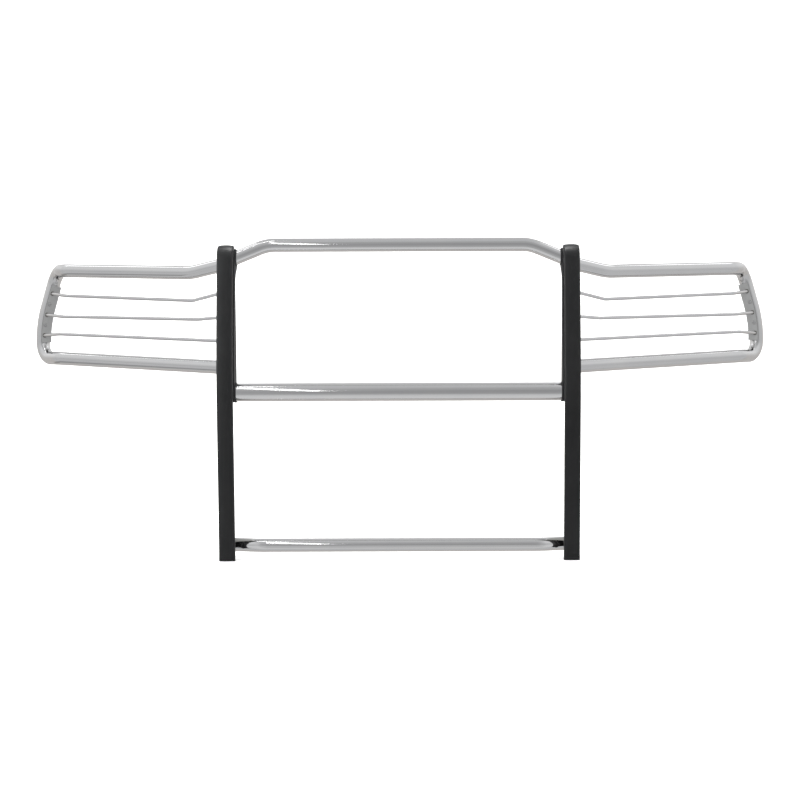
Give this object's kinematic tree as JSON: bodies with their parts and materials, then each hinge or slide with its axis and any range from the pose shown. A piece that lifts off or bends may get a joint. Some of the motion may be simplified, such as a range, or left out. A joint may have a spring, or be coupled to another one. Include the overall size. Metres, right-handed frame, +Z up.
{
  "type": "front grille guard",
  "caption": "Front grille guard for a pickup truck: rubber-faced black uprights, polished steel cross tubes, and swept-back headlight wings with rods.",
  "frame": {"origin": "centre of the bounding box in plan, at the cut bottoms of the uprights", "axes": "+X to the right as seen from in front of the vehicle, +Y towards the vehicle, +Z up; left and right in node names are as seen from in front"},
  "size_m": [2.112, 0.2939, 0.89],
  "materials": {
    "polished_tube": "polished stainless steel tube",
    "polished_rod": "polished stainless steel rod",
    "brushed_steel": "brushed stainless steel flat bar",
    "black_steel": "satin black powder coat",
    "rubber": "matt extruded black rubber",
    "zinc_fastener": "zinc plated",
    "zinc_plate": "zinc plated steel plate",
    "bright_screw": "plain stainless"
  },
  "bodies": {
    "root": {"top_tube": "polished_tube", "mid_tube": "polished_tube", "bottom_tube": "polished_tube", "riser_left": "black_steel", "riser_pad_left": "rubber", "pad_studs_left": "zinc_fastener", "pad_nuts_left": "zinc_fastener", "inner_plate_left": "black_steel", "mount_plate_left": "zinc_plate", "wing_hoop_left": "polished_tube", "rod_strap_left": "brushed_steel", "strap_screws_left": "bright_screw", "wing_rod_upper_left": "polished_rod", "wing_rod_middle_left": "polished_rod", "wing_rod_lower_left": "polished_rod", "riser_right": "black_steel", "riser_pad_right": "rubber", "pad_studs_right": "zinc_fastener", "pad_nuts_right": "zinc_fastener", "inner_plate_right": "black_steel", "mount_plate_right": "zinc_plate", "wing_hoop_right": "polished_tube", "rod_strap_right": "brushed_steel", "strap_screws_right": "bright_screw", "wing_rod_upper_right": "polished_rod", "wing_rod_middle_right": "polished_rod", "wing_rod_lower_right": "polished_rod"}
  },
  "joints": []
}
